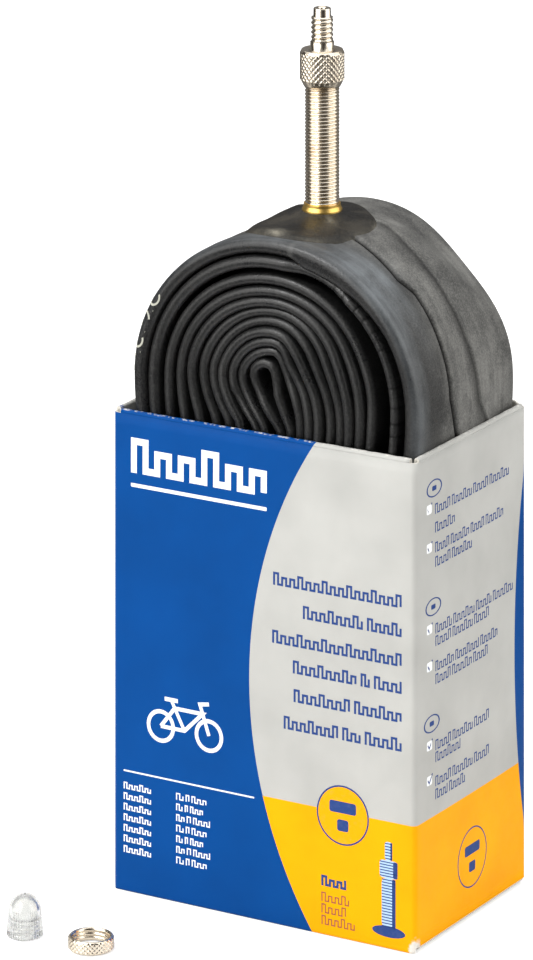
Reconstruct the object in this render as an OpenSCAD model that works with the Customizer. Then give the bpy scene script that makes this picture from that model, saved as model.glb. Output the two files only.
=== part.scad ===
// Bicycle inner tube with a Woods valve, rolled up and standing half out of its open carton.
// Origin: centre of the carton's underside. +X along the carton's front, +Y to its back, +Z up. Millimetres.

/* [Carton] */
// Width of the carton, along X
carton_w = 76; // [76:0.5:84]
// Depth of the carton, along Y
carton_d = 50; // [50:0.5:58]
// Height of the carton
carton_h = 106; // [100:1:115]
// Thickness of the paperboard
board_t = 0.5; // [0.35:0.05:0.5]
// Outside radius of the folded upright edges
crease_r = 1.2; // [0.8:0.1:1.5]
// Length of the lid panel with its tongue, folded down inside the front wall
lid_panel = 62; // [40:1:70]
// Length of the four dust flaps
dust_reach = 20; // [10:1:30]
// Height of the bottom panel's tongue, tucked up inside the front wall
tongue_h = 13; // [8:1:20]
// Width of the glue flap
glue_flap_w = 12; // [8:1:16]

/* [Tube] */
// Width of the tube when it is pressed flat, along Y
tube_flat_w = 46.5; // [40:0.5:46.5]
// Thickness of the rubber wall
tube_wall = 0.75; // [0.6:0.05:0.8]
// Thickness of one flattened strand in the inner turns
strand_t = 1.8; // [1.7:0.05:1.9]
// Extra thickness of the outermost strand
outer_extra = 1.4; // [1.0:0.1:1.4]
// Height of the roll's widest level above the floor
roll_mid_z = 114; // [112:0.5:116]

/* [Valve] */
// Outside diameter of the threaded stem
stem_d = 7.7; // [7.6:0.05:7.7]
// Diameter of the thread on the core's tip
tip_thread_d = 4.95; // [4.8:0.05:5.1]
// Outside diameter of the knurled union nut
union_d = 9.9; // [9.6:0.1:10.4]
// Outside diameter of the knurled rim nut
rim_nut_d = 10; // [9.6:0.1:12]
// Height of the rim nut
rim_nut_h = 2.8; // [2.4:0.1:4]
// Outside diameter of the dust cap
cap_d = 7.8; // [7.4:0.1:8.2]
// Height of the dust cap
cap_h = 9; // [8.5:0.1:10]

/* [Hidden] */
$fn = 64;

print_blue = [0.0, 0.35, 0.67];
board_grey = [0.8, 0.79, 0.77];
board_white = [0.93, 0.92, 0.9];
rubber_black = [0.15, 0.15, 0.16];
patch_brown = [0.17, 0.12, 0.1];
nickel = [0.78, 0.77, 0.74];
brass = [0.8, 0.62, 0.3];
clear_plastic = [0.88, 0.9, 0.92, 0.5];

// Slot between two folded layers of board, and the outside radius of a top crease
layer_gap = 0.1;
fold_r = board_t + layer_gap;
// The left top flap folds over the glue flap as well, so its crease is wider
left_fold_r = 1.5 * board_t + 1.5 * layer_gap;
// Flaps stop short of the upright edges by this much
corner_cut = crease_r + 0.3;
dust_w = carton_d - 2 * corner_cut;
// The side walls end above the bottom panel, and every wall but the back one ends below the top creases
walls_z0 = board_t + fold_r;
walls_z1 = carton_h - left_fold_r;

// A box given by its lowest and highest corners
module block(low, high) {
    translate(low)
        cube(high - low);
}

// Rectangle with rounded corners, centred on the origin
module rounded_rect(w, d, r) {
    square([w - 2 * r, d], center = true);
    square([w, d - 2 * r], center = true);
    for (sx = [-1, 1], sy = [-1, 1])
        translate([sx * (w / 2 - r), sy * (d / 2 - r)])
            circle(r);
}

// ---- Carton ----

module wall_ring() {
    difference() {
        rounded_rect(carton_w, carton_d, crease_r);
        rounded_rect(carton_w - 2 * board_t, carton_d - 2 * board_t, crease_r - board_t);
    }
}

// Sleeve of four walls. The front wall ends on the floor in a cut edge, the back wall's cut edge is at
// the top, and the other edges end where a flap's crease begins.
module carton_walls() {
    color(print_blue) {
        translate([0, 0, walls_z0])
            linear_extrude(walls_z1 - walls_z0)
                wall_ring();
        linear_extrude(walls_z0)
            intersection() {
                wall_ring();
                translate([0, -carton_d / 2])
                    square([carton_w, 2 * corner_cut], center = true);
            }
        translate([0, 0, walls_z1])
            linear_extrude(carton_h - walls_z1)
                intersection() {
                    wall_ring();
                    translate([0, carton_d / 2])
                        square([carton_w, 2 * corner_cut], center = true);
                }
        block([corner_cut - carton_w / 2, carton_d / 2 - board_t, fold_r],
              [carton_w / 2 - corner_cut, carton_d / 2, walls_z0]);
    }
}

// Strip that joins the blank: glued to the inside of the left wall, with its ends cut at a slant
module glue_flap() {
    flap_x = -carton_w / 2 + board_t;
    back_y = carton_d / 2 - crease_r;
    top_z = walls_z1 - 3;
    low_z = walls_z0 + 3;
    slant = 4;
    color(board_white)
        translate([flap_x, 0, 0])
            rotate([90, 0, 90])
                linear_extrude(board_t)
                    polygon([[back_y, low_z], [back_y, top_z],
                             [back_y - glue_flap_w, top_z - slant], [back_y - glue_flap_w, low_z + slant]]);
}

// A top flap seen from its end: up from the wall, over the crease and down inside.
// The wall's outer face is at 0, and inwards is positive.
module folded_profile(length, r) {
    top_z = carton_h - r;
    difference() {
        union() {
            translate([r, top_z])
                circle(r);
            translate([2 * r - board_t, top_z - length])
                square([board_t, length]);
        }
        translate([r, top_z])
            circle(r - board_t);
        translate([-r, walls_z1 - 4 * r])
            square([3 * r - board_t, 4 * r + top_z - walls_z1]);
    }
    if (top_z > walls_z1)
        translate([0, walls_z1])
            square([board_t, top_z - walls_z1]);
}

// A folded flap of the given width, its crease running along X
module folded_flap(width, length, r) {
    translate([-width / 2, 0, 0])
        rotate([90, 0, 90])
            linear_extrude(width)
                folded_profile(length, r);
}

// Closing panel of the lid, hinged on the front wall and folded right down inside with its tongue
module top_panel() {
    color(board_grey)
        translate([0, -carton_d / 2, 0])
            folded_flap(carton_w - 2 * corner_cut, lid_panel, fold_r);
}

module top_dust_left() {
    color(print_blue)
        rotate([0, 0, -90])
            translate([0, -carton_w / 2, 0])
                folded_flap(dust_w, dust_reach, left_fold_r);
}

module top_dust_right() {
    color(board_grey)
        rotate([0, 0, 90])
            translate([0, -carton_w / 2, 0])
                folded_flap(dust_w, dust_reach, fold_r);
}

// A bottom flap, its crease running along X under the front wall: a quarter round, then a flat leaf
module bottom_leaf(width, reach, level) {
    z0 = level * board_t;
    translate([-width / 2, 0, 0])
        rotate([90, 0, 90])
            linear_extrude(width) {
                intersection() {
                    difference() {
                        translate([fold_r, z0 + fold_r])
                            circle(fold_r);
                        translate([fold_r, z0 + fold_r])
                            circle(fold_r - board_t);
                    }
                    translate([0, z0])
                        square(fold_r);
                }
                translate([fold_r, z0])
                    square([reach - fold_r, board_t]);
            }
}

// Closing panel under the carton: hinged on the back wall, with a tongue that tucks in behind the front wall
module bottom_panel() {
    width = carton_w - 2 * corner_cut;
    tongue_y = -carton_d / 2 + board_t + layer_gap;
    color(board_grey) {
        rotate([0, 0, 180])
            translate([0, -carton_d / 2, 0])
                bottom_leaf(width, carton_d - board_t - 2 * layer_gap, 0);
        block([-width / 2 + 2, tongue_y, board_t], [width / 2 - 2, tongue_y + board_t, tongue_h]);
    }
}

module bottom_dust_left() {
    color(board_white)
        rotate([0, 0, -90])
            translate([0, -carton_w / 2, 0])
                bottom_leaf(dust_w, dust_reach, 1);
}

module bottom_dust_right() {
    color(board_white)
        rotate([0, 0, 90])
            translate([0, -carton_w / 2, 0])
                bottom_leaf(dust_w, dust_reach, 1);
}

// ---- Inner tube: a closed loop pressed flat, doubled, and wound up into a roll ----
// A strand's place is given by its angle, clockwise from the top as seen from the front, and its
// level: 0 is the outermost strand, 1 the next, up to 9. Each full turn outwards drops two levels,
// because the tube is doubled, and the drop is made along the hidden underside.

roll_mid_x = 1.1;
outer_level_x = 34;
step_deg = 12;
inner_turn_start = -90;
outer_turn_end = 4 * 360 + 160;

// Looseness of the outer pair of strands: 1 outside, 0 from the third strand inwards
function loose(level) = 1 / (1 + exp((level - 1.35) * 4.8));
// Where a strand of this level crosses the left, right, top and bottom of the roll
function left_x(level) = -32.8 + 2.8 * level + 1.8 * sin(level * 180 / 8.6);
function right_x(level) = 30.5 - 2.5 * level + 4.5 * loose(level);
function top_z(level) = roll_mid_z + 28.7 - 2.15 * level + 3.4 * exp(-pow(level / 1.5, 2));
function bottom_z(level) = roll_mid_z - 46.4 + 2.45 * level + 1.2 * (1 - exp(-level));

// Part of the way through the level change, 0 at 120 degrees and 1 at 270
function drop_part(a) = a < 120 ? 0 : a > 270 ? 1 : pow((a - 120) / 150, 2) * (3 - 2 * (a - 120) / 150);
function turn_of(angle) = floor(angle / 360);
function level_at(angle, inner) = 8 - 2 * turn_of(angle) - 2 * drop_part(angle - 360 * turn_of(angle)) + inner;
function power_sign(v, p) = sign(v) * pow(abs(v), p);

function strand_point(angle, level) = [
    sin(angle) > 0 ? roll_mid_x + (right_x(level) - roll_mid_x) * across(angle)
                   : roll_mid_x + (roll_mid_x - left_x(level)) * across(angle),
    cos(angle) > 0 ? roll_mid_z + (top_z(level) - roll_mid_z) * cos(angle)
                   : roll_mid_z + (roll_mid_z - bottom_z(level)) * cos(angle)];
// The underside is fuller than an ellipse, because the carton's mouth squeezes it
function across(angle) = cos(angle) > 0 ? sin(angle) : power_sign(sin(angle), 0.7);

function strand_width(level) = strand_t + outer_extra * exp(-max(level, 0) / 0.8);

// A strand as [x, z, thickness], from one angle to another
function strand(from, to, inner) = [
    for (i = [0 : round(abs(to - from) / step_deg)])
        let (angle = from + sign(to - from) * i * step_deg, level = level_at(angle, inner))
            concat(strand_point(angle, level), [strand_width(level)])];

// A cubic curve between two points with two handles, without its ends
function curve(a, b, c, d, steps = 8) = [
    for (i = [1 : steps - 1])
        let (t = i / steps, s = 1 - t, p = s*s*s * a + 3*s*s*t * b + 3*s*t*t * c + t*t*t * d)
            [p[0], p[1], strand_t]];

// The innermost fold: down from the left, back under, up over a loop and down again
inner_left = [left_x(9), roll_mid_z];
outer_left = [left_x(8), roll_mid_z];
leg_left = [2.5, roll_mid_z - 8];
leg_right = [5.0, roll_mid_z - 7.2];
loop_left = [-4.1, roll_mid_z + 4.2];
loop_right = [1.6, roll_mid_z + 3.6];
inner_fold = concat(
    curve(inner_left, [inner_left[0], roll_mid_z - 17], [leg_left[0] + 2.5, leg_left[1] - 5.5], leg_left),
    [concat(leg_left, [strand_t])],
    curve(leg_left, [0, roll_mid_z - 4], [-4.8, roll_mid_z + 1.6], loop_left),
    [concat(loop_left, [strand_t])],
    curve(loop_left, [-3.6, roll_mid_z + 7.0], [1.6, roll_mid_z + 7.8], loop_right),
    [concat(loop_right, [strand_t])],
    curve(loop_right, [1.6, roll_mid_z - 0.6], [3.6, roll_mid_z - 4.1], leg_right),
    [concat(leg_right, [strand_t])],
    curve(leg_right, [7.2, roll_mid_z - 15], [outer_left[0], roll_mid_z - 22], outer_left));

// The outer fold, at the other end of the doubled tube, is a half circle under the roll
outer_strand = strand(inner_turn_start, outer_turn_end, 0);
inner_strand = strand(outer_turn_end, inner_turn_start, 1);
fold_from = outer_strand[len(outer_strand) - 1];
fold_to = inner_strand[0];
fold_mid = (fold_from + fold_to) / 2;
fold_arm = [fold_from[0] - fold_mid[0], fold_from[1] - fold_mid[1]];
outer_fold = [
    for (a = [-30 : -30 : -150])
        [fold_mid[0] + fold_arm[0] * cos(a) - fold_arm[1] * sin(a),
         fold_mid[1] + fold_arm[0] * sin(a) + fold_arm[1] * cos(a), strand_t]];

centreline = concat(outer_strand, outer_fold, inner_strand, inner_fold);
count = len(centreline);

// The point a given distance to the left of the centreline, made of half the thickness less a wall
function side_point(i, side, wall) =
    let (p = centreline[i], q = centreline[(i + 1) % count], o = centreline[(i + count - 1) % count],
         along = [q[0] - o[0], q[1] - o[1]], n = [-along[1], along[0]] / norm(along))
            [p[0], p[1]] + side * n * (p[2] / 2 - wall);

// The strand as a band seen from the end of the roll; a wall above 0 gives the hollow inside it
module band(wall = 0) {
    points = concat([for (i = [0 : count - 1]) side_point(i, 1, wall)],
                    [for (i = [0 : count - 1]) side_point(i, -1, wall)]);
    polygon(points, paths = [[for (i = [0 : count - 1]) i], [for (i = [0 : count - 1]) count + i]]);
}

module along_roll(width) {
    translate([0, width / 2, 0])
        rotate([90, 0, 0])
            linear_extrude(width)
                children();
}

// ---- Valve sizes ----
valve_x = 0.35;
shank_r = stem_d / 2 - 0.25;
// The stem's threaded end inside the union nut, taken at the thread's mean radius
nut_thread_r = stem_d / 2 - 0.2;
tube_top = top_z(0) + strand_width(0) / 2;
foot_r = 5.2;
foot_z = 145.3;
foot_t = 0.75;
ring_z = 149;
ring_h = 1.8;
ring_r = 4.45;
nut_z = 176.6;
nut_top = 184.7;
thread_top = nut_z - 0.3;
stem_top = nut_z + 4;
nut_play = 0.06;

module on_valve_axis(z) {
    translate([valve_x, 0, z])
        children();
}

module inner_tube() {
    color(rubber_black)
        difference() {
            along_roll(tube_flat_w)
                band();
            along_roll(tube_flat_w - 6 * tube_wall)
                band(tube_wall);
            on_valve_axis(foot_z)
                cylinder(r = shank_r, h = ring_z - foot_z);
        }
}

// Round patch over the valve's foot, drawn up in a tent to the brass ring
patch_r = 15;
patch_t = 0.6;
module valve_patch() {
    rest = 0.08;
    mid = [roll_mid_x, roll_mid_z];
    rx = right_x(0) - roll_mid_x + strand_width(0) / 2 + rest;
    rz = tube_top - roll_mid_z + rest;
    color(patch_brown)
        difference() {
            intersection() {
                union() {
                    along_roll(2 * patch_r)
                        polygon(concat(
                            [for (x = [-patch_r : 3 : patch_r])
                                mid + [x, rz * sqrt(1 - pow(x / rx, 2))]],
                            [for (x = [patch_r : -3 : -patch_r])
                                mid + [x, patch_t + rz * sqrt(1 - pow(x / rx, 2))]]));
                    on_valve_axis(tube_top + rest)
                        cylinder(r1 = 7.5, r2 = ring_r + 0.2, h = ring_z - tube_top - rest);
                }
                on_valve_axis(0)
                    cylinder(r = patch_r, h = 2 * ring_z);
            }
            on_valve_axis(foot_z)
                cylinder(r = shank_r, h = ring_z);
        }
}

// Stem: foot flange inside the tube, plain shank through its wall, then the thread
bore_r = 2.7;
module valve_stem() {
    color(nickel)
        on_valve_axis(0)
            rotate_extrude()
                polygon([[1.3, foot_z], [foot_r, foot_z], [foot_r, foot_z + foot_t],
                         [shank_r, foot_z + foot_t], [shank_r, ring_z + ring_h],
                         [stem_d / 2, ring_z + ring_h], [stem_d / 2, thread_top],
                         [nut_thread_r, thread_top], [nut_thread_r, stem_top],
                         [bore_r, stem_top], [bore_r, ring_z], [1.3, ring_z]]);
}

module stem_base_ring() {
    color(brass)
        on_valve_axis(0)
            rotate_extrude()
                polygon([[shank_r, ring_z], [ring_r, ring_z], [ring_r, ring_z + 0.5],
                         [stem_d / 2 + 0.25, ring_z + 1.3], [stem_d / 2 + 0.25, ring_z + ring_h],
                         [shank_r, ring_z + ring_h]]);
}

// ---- Valve core: drops into the stem and is held by the union nut ----
shoulder_r = 3.35;
seal_t = 0.8;
shoulder_z = stem_top + seal_t;
shoulder_t = 1.2;
core_r = 2.3;
core_low = 164;
core_bore_r = 0.8;
tip_collar_r = 2.65;
collar_top = nut_top + 1.9;
thread_end = nut_top + 7.1;
tip_top = nut_top + 9.1;
ball_r = 1.2;
ball_play = 0.01;
chamber_r = 1.4;
ball_travel = 0.8;
retainer_t = 0.8;
ball_low = core_low + 0.4 + retainer_t;
chamber_top = ball_low + 2 * ball_r + ball_travel + 0.02;

module core_body() {
    color(nickel)
        on_valve_axis(0)
            rotate_extrude()
                polygon([[chamber_r, core_low], [core_r, core_low], [core_r, shoulder_z],
                         [shoulder_r, shoulder_z], [shoulder_r, shoulder_z + shoulder_t],
                         [tip_collar_r, shoulder_z + shoulder_t], [tip_collar_r, collar_top],
                         [tip_thread_d / 2, collar_top], [tip_thread_d / 2, thread_end],
                         [2, thread_end], [1.85, tip_top],
                         [core_bore_r, tip_top], [core_bore_r, chamber_top], [chamber_r, chamber_top]]);
}

// Rubber ring between the core's shoulder and the mouth of the stem
module core_seal() {
    color(rubber_black)
        on_valve_axis(stem_top)
            rotate_extrude()
                translate([core_r, 0])
                    square([shoulder_r - core_r, seal_t]);
}

module ball_retainer() {
    color(brass)
        on_valve_axis(core_low + 0.4)
            difference() {
                cylinder(r = chamber_r, h = retainer_t);
                cylinder(r = 0.6, h = 3 * retainer_t, center = true);
            }
}

module check_ball() {
    color(nickel)
        on_valve_axis(ball_low + ball_r)
            sphere(ball_r - ball_play, $fn = 128);
}

// Union nut: threaded on the stem below, closing over the core's shoulder above
union_r = union_d / 2;
module union_nut() {
    lid_z = shoulder_z + shoulder_t + 0.05;
    color(nickel)
        on_valve_axis(0)
            rotate_extrude()
                polygon([[nut_thread_r + nut_play, nut_z], [union_r - 0.9, nut_z], [union_r - 0.1, nut_z + 1.5],
                         [union_r, nut_z + 1.6], [union_r, nut_top - 0.7], [union_r - 0.35, nut_top],
                         [tip_collar_r + 0.08, nut_top], [tip_collar_r + 0.08, lid_z],
                         [nut_thread_r + nut_play, lid_z]]);
}

// ---- Loose parts beside the carton ----
rim_nut_at = [-23.9, -57.2, 0];
cap_at = [-40.2, -58.2, 0];

module rim_nut() {
    r = rim_nut_d / 2;
    bevel = 0.4;
    color(nickel)
        translate(rim_nut_at)
            rotate_extrude()
                polygon([[stem_d / 2 + 0.05, bevel], [stem_d / 2 + 0.05 + bevel, 0], [r - bevel, 0],
                         [r, bevel], [r, rim_nut_h - bevel], [r - bevel, rim_nut_h],
                         [stem_d / 2 + 0.05 + bevel, rim_nut_h], [stem_d / 2 + 0.05, rim_nut_h - bevel]]);
}

// Cap: a ribbed skirt under a dome, with a bore that takes the tip's thread
module dust_cap() {
    r = cap_d / 2;
    skirt_h = 5;
    dome_h = cap_h - skirt_h;
    wall = 0.9;
    bore = tip_thread_d / 2 + 0.05;
    color(clear_plastic)
        translate(cap_at)
            rotate_extrude()
                polygon(concat(
                    [[bore, 0], [r, 0], [r, skirt_h]],
                    [for (a = [10 : 10 : 80]) [(r - 0.3) * cos(a), skirt_h + dome_h * sin(a)]],
                    [[0, cap_h]],
                    [[0, cap_h - wall]],
                    [for (a = [75 : -15 : 15]) [(bore + 0.3) * cos(a), skirt_h + (dome_h - wall) * sin(a)]],
                    [[bore + 0.3, skirt_h - 1], [bore, skirt_h - 1.3]]));
}

carton_walls();
glue_flap();
top_panel();
top_dust_left();
top_dust_right();
bottom_panel();
bottom_dust_left();
bottom_dust_right();
inner_tube();
valve_patch();
valve_stem();
stem_base_ring();
core_body();
core_seal();
ball_retainer();
check_ball();
union_nut();
rim_nut();
dust_cap();
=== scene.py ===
"""Looks of a rolled bicycle inner tube in its open carton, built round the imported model.

Mesh code works in millimetres, in the row frame, and is scaled to metres as each piece is made.
"""
import math
import bpy
import numpy as np
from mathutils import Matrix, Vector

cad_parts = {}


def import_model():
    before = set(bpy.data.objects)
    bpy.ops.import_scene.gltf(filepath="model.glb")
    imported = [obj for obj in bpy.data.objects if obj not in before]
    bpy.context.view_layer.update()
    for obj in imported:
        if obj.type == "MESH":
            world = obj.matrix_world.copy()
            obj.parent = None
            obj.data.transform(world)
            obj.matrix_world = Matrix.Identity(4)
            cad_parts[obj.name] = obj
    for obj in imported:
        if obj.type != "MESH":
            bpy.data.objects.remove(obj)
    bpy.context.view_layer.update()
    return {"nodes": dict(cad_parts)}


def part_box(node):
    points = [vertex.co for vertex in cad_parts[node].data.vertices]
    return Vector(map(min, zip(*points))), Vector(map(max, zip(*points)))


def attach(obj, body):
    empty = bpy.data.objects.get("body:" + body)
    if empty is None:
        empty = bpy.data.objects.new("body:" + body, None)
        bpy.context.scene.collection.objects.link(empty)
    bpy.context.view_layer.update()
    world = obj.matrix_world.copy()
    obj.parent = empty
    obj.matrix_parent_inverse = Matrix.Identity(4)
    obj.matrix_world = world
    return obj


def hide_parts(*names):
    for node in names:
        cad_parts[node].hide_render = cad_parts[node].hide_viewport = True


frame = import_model()
MM = 0.001
TAU = 2 * math.pi


def box_mm(node):
    """Lowest and highest corner of a CAD node, in millimetres."""
    low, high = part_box(node)
    return np.array(low) / MM, np.array(high) / MM


# ---------------------------------------------------------------- small maths

def sine(degrees):
    return math.sin(math.radians(degrees))


def cosine(degrees):
    return math.cos(math.radians(degrees))


def bell(distance, width):
    """1 at no distance, falling smoothly to 0 beyond a couple of widths."""
    return math.exp(-(distance / width) ** 2)


def clamped(value, low=0.0, high=1.0):
    return min(max(value, low), high)


def steps(start, stop, spacing):
    count = max(1, round(abs(stop - start) / spacing))
    return [start + (stop - start) * k / count for k in range(count + 1)]


# ---------------------------------------------------------------- material nodes

class Nodes:
    """Short calls that add shader nodes. A value is a number, a colour or another node's output."""

    def __init__(self, tree):
        self.tree = tree

    def feed(self, socket, value):
        if isinstance(value, bpy.types.NodeSocket):
            self.tree.links.new(value, socket)
        else:
            socket.default_value = value

    def add(self, kind, settings=None, **inputs):
        """Adds a node. Settings are its properties; i0, i1 and so on are inputs by number."""
        node = self.tree.nodes.new("ShaderNode" + kind)
        for key, value in (settings or {}).items():
            setattr(node, key, value)
        for key, value in inputs.items():
            by_number = key[0] == "i" and key[1:].isdigit()
            self.feed(node.inputs[int(key[1:]) if by_number else key], value)
        return node

    def calc(self, operation, *values):
        """A Math node's output."""
        inputs = {f"i{k}": value for k, value in enumerate(values)}
        return self.add("Math", {"operation": operation}, **inputs).outputs[0]

    def times(self, a, b):
        return self.calc("MULTIPLY", a, b)

    def plus(self, a, b):
        return self.calc("ADD", a, b)

    def ramp(self, value, low, high, to_low=0.0, to_high=1.0):
        """Value mapped from low..high to to_low..to_high, clamped."""
        inputs = {"Value": value, "From Min": low, "From Max": high, "To Min": to_low, "To Max": to_high}
        return self.add("MapRange", {"clamp": True}, **inputs).outputs["Result"]

    def blend(self, factor, first, second, kind="MIX"):
        """First colour where factor is 0, second where it is 1."""
        node = self.add("Mix", {"data_type": "RGBA", "blend_type": kind})
        for index, value in ((0, factor), (6, first), (7, second)):
            self.feed(node.inputs[index], (*value, 1.0) if isinstance(value, tuple) else value)
        return node.outputs[2]

    def reflected(self, path):
        """1 for a ray that a shiny surface has thrown back, 0 for one that passed through it."""
        passed = self.calc("SUBTRACT", 1.0, path.outputs["Is Transmission Ray"])
        return self.times(path.outputs["Is Glossy Ray"], passed)

    def looked_at(self, path):
        """1 for a ray straight from the camera, and less for one through clear plastic."""
        through = self.times(path.outputs["Is Transmission Ray"], 0.65)
        return self.calc("MAXIMUM", path.outputs["Is Camera Ray"], through)


class Look(Nodes):
    """A new material under construction. Keyword values set inputs of its Principled shader."""

    def __init__(self, name, **sockets):
        self.material = bpy.data.materials.new(name)
        self.material.use_nodes = True
        super().__init__(self.material.node_tree)
        self.surface = self.tree.nodes["Principled BSDF"]
        for socket, value in sockets.items():
            self.set(socket.replace("_", " "), value)
        self.place = self.add("TexCoord").outputs["Object"]

    def set(self, socket, value):
        self.feed(self.surface.inputs[socket], value)

    def noise(self, scale, detail=3.0, roughness=0.5):
        """Noise over the piece. Three scales stretch it along the axes."""
        place = self.place
        if isinstance(scale, tuple):
            place = self.add("Mapping", Vector=place, Scale=scale).outputs[0]
            scale = 1.0
        return self.add("TexNoise", Vector=place, Scale=scale, Detail=detail,
                        Roughness=roughness).outputs["Fac"]

    def attribute(self, name):
        return self.add("Attribute", {"attribute_name": name}).outputs["Fac"]

    def bump(self, height, strength, distance):
        node = self.add("Bump", Height=height, Strength=strength, Distance=distance)
        self.set("Normal", node.outputs[0])


def rubber_material():
    """Black butyl with a dusting of talc; the outermost turn is greyer, duller and mottled. It also carries
    painted light: a bluish sheen near the outer turn's front bead, and near-black shade in its grooves and
    wrinkles.
    """
    look = Look("butyl_rubber", Specular_IOR_Level=0.5)
    cloud = look.noise(75.0, 6.0, 0.65)
    grain = look.noise(2400.0, 3.0, 0.65)
    streak = look.noise((30.0, 330.0, 30.0), 5.0, 0.6)
    outside, painted_sheen, mark, crease = (look.attribute(name) for name in RUBBER_VALUES)
    dust = look.times(look.ramp(cloud, 0.36, 0.64), look.ramp(outside, 0.0, 1.0, 0.12, 0.6))
    dust = look.times(dust, look.ramp(streak, 0.35, 0.65, 0.65, 1.35))
    specks = look.times(look.ramp(grain, 0.42, 0.68), look.ramp(outside, 0.0, 1.0, 0.3, 0.5))
    talc = look.blend(outside, (0.06, 0.059, 0.055), (0.19, 0.188, 0.176))
    bare = look.blend(outside, (0.004, 0.0042, 0.005), (0.03, 0.03, 0.029))
    colour = look.blend(look.calc("MINIMUM", look.plus(dust, specks), 1.0), bare, talc)
    # Painted sheen: a pale bluish highlight laid into the colour on the outer turn near its front bead,
    # broken up by streaks and cloud.
    patchy = look.plus(look.ramp(streak, 0.36, 0.66, 0.1, 0.55), look.ramp(cloud, 0.38, 0.62, 0.0, 0.45))
    colour = look.blend(look.times(painted_sheen, patchy), colour, (0.27, 0.3, 0.325))
    colour = look.blend(mark, colour, (0.5, 0.5, 0.47))
    # Painted shade: near-black colour and almost no shine in the pleat and seam grooves, and in the wrinkles
    # across the second strand.
    look.set("Base Color", look.blend(crease, colour, (0.003, 0.003, 0.003)))
    look.set("Specular IOR Level", look.ramp(crease, 0.0, 1.0, 0.5, 0.05))
    rough = look.plus(look.ramp(cloud, 0.3, 0.7, 0.2, 0.34), look.ramp(outside, 0.0, 1.0, 0.0, 0.26))
    look.set("Roughness", look.plus(rough, look.times(grain, 0.1)))
    look.bump(look.plus(grain, look.times(cloud, 3.0)), 0.5, 0.00012)
    return look.material


def patch_material(name):
    """Brown-black rubber, dull and grainy, with talc here and there."""
    look = Look(name, Specular_IOR_Level=0.28)
    cloud = look.noise(110.0, 7.0, 0.7)
    grain = look.noise(2600.0, 3.0, 0.65)
    colour = look.blend(look.ramp(cloud, 0.42, 0.6), (0.003, 0.0023, 0.0015), (0.034, 0.03, 0.023))
    colour = look.blend(look.ramp(grain, 0.52, 0.74, 0.0, 0.4), colour, (0.085, 0.077, 0.06))
    dusted = look.times(look.ramp(cloud, 0.34, 0.6, 0.25, 1.0), look.ramp(grain, 0.34, 0.6, 0.45, 1.0))
    colour = look.blend(look.times(look.attribute("talc"), dusted), colour, (0.42, 0.39, 0.31))
    look.set("Base Color", colour)
    look.set("Roughness", look.ramp(cloud, 0.4, 0.6, 0.34, 0.58))
    look.bump(look.plus(grain, look.times(cloud, 6.0)), 0.6, 0.00018)
    return look.material


def metal_material(name, colour, stain, roughness):
    """Bright plated or bare metal, with fine turning marks and faint stains."""
    look = Look(name, Metallic=1.0)
    cloud = look.noise(180.0, 4.0)
    lines = look.noise((60.0, 60.0, 2400.0), 2.0)
    look.set("Base Color", look.blend(look.ramp(cloud, 0.52, 0.8), colour, stain))
    look.set("Roughness", look.plus(roughness, look.times(cloud, 0.12)))
    look.bump(lines, 0.12, 0.00003)
    return look.material


def clear_material():
    """Clear moulded plastic, faintly clouded."""
    look = Look("clear_plastic", IOR=1.49, Transmission_Weight=0.93, Base_Color=(0.83, 0.835, 0.82, 1))
    cloud = look.noise(420.0)
    look.set("Roughness", look.ramp(cloud, 0.3, 0.75, 0.04, 0.16))
    look.bump(cloud, 0.2, 0.00006)
    return look.material


def printed_material():
    """Printed board. The sheet attributes give each point's place round the carton and its height, in mm."""
    look = Look("printed_board", Specular_IOR_Level=0.07)
    along = look.attribute("sheet_along")
    up = look.attribute("sheet_up")
    left_wall = look.calc("GREATER_THAN", along, HALF_ROUND + 2 * HALF_W)
    along = look.calc("MODULO", along, HALF_ROUND)
    # The blue field ends in a large arc, and a flatter one cuts the far edge of the side panel
    rise = look.calc("SUBTRACT", up, ARC_MID_Z)
    square = look.times(rise, rise)
    reach = look.calc("SQRT", look.calc("SUBTRACT", ARC_RADIUS ** 2, square))
    arc_left = look.calc("SUBTRACT", ARC_CENTRE, reach)
    arc_right = look.plus(HALF_ROUND - 5.6, look.calc("DIVIDE", square, 330.0))
    # The left wall is blue all the way up beside the front
    limit = look.ramp(left_wall, 0.0, 1.0, HALF_ROUND + 5, HALF_ROUND - 3)
    arc_right = look.calc("MINIMUM", arc_right, limit)
    blue = look.calc("MAXIMUM", look.calc("LESS_THAN", along, arc_left),
                     look.calc("GREATER_THAN", along, arc_right))
    orange = look.calc("LESS_THAN", up, ORANGE_TOP)
    colour = look.blend(blue, look.blend(orange, GREY, ORANGE), BLUE)
    # Creases and edges where the print has cracked off the board
    fibre = look.noise(700.0, 4.0, 0.65)
    blotch = look.noise(60.0)
    worn = look.plus(look.times(look.attribute("worn"), 0.62), look.times(fibre, 0.6))
    colour = look.blend(look.ramp(worn, 0.66, 0.8), colour, BOARD)
    shade = look.ramp(blotch, 0.3, 0.7, 0.9, 1.06)
    tint = look.add("CombineColor", Red=shade, Green=shade, Blue=shade).outputs[0]
    look.set("Base Color", look.blend(1.0, colour, tint, "MULTIPLY"))
    look.set("Roughness", look.ramp(fibre, 0.3, 0.7, 0.34, 0.5))
    look.bump(look.plus(fibre, look.times(blotch, 3.0)), 0.16, 0.00012)
    return look.material


def raw_board_material():
    """Bare board, fibrous and a little stained."""
    look = Look("plain_board", Roughness=0.8)
    fibre = look.noise(1300.0, 5.0, 0.7)
    cloud = look.noise(90.0)
    colour = look.blend(look.ramp(fibre, 0.3, 0.7), (0.5, 0.48, 0.43), BOARD)
    look.set("Base Color", look.blend(look.ramp(cloud, 0.4, 0.8, 0.0, 0.3), colour, (0.58, 0.53, 0.44)))
    look.bump(fibre, 0.3, 0.00012)
    return look.material


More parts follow.
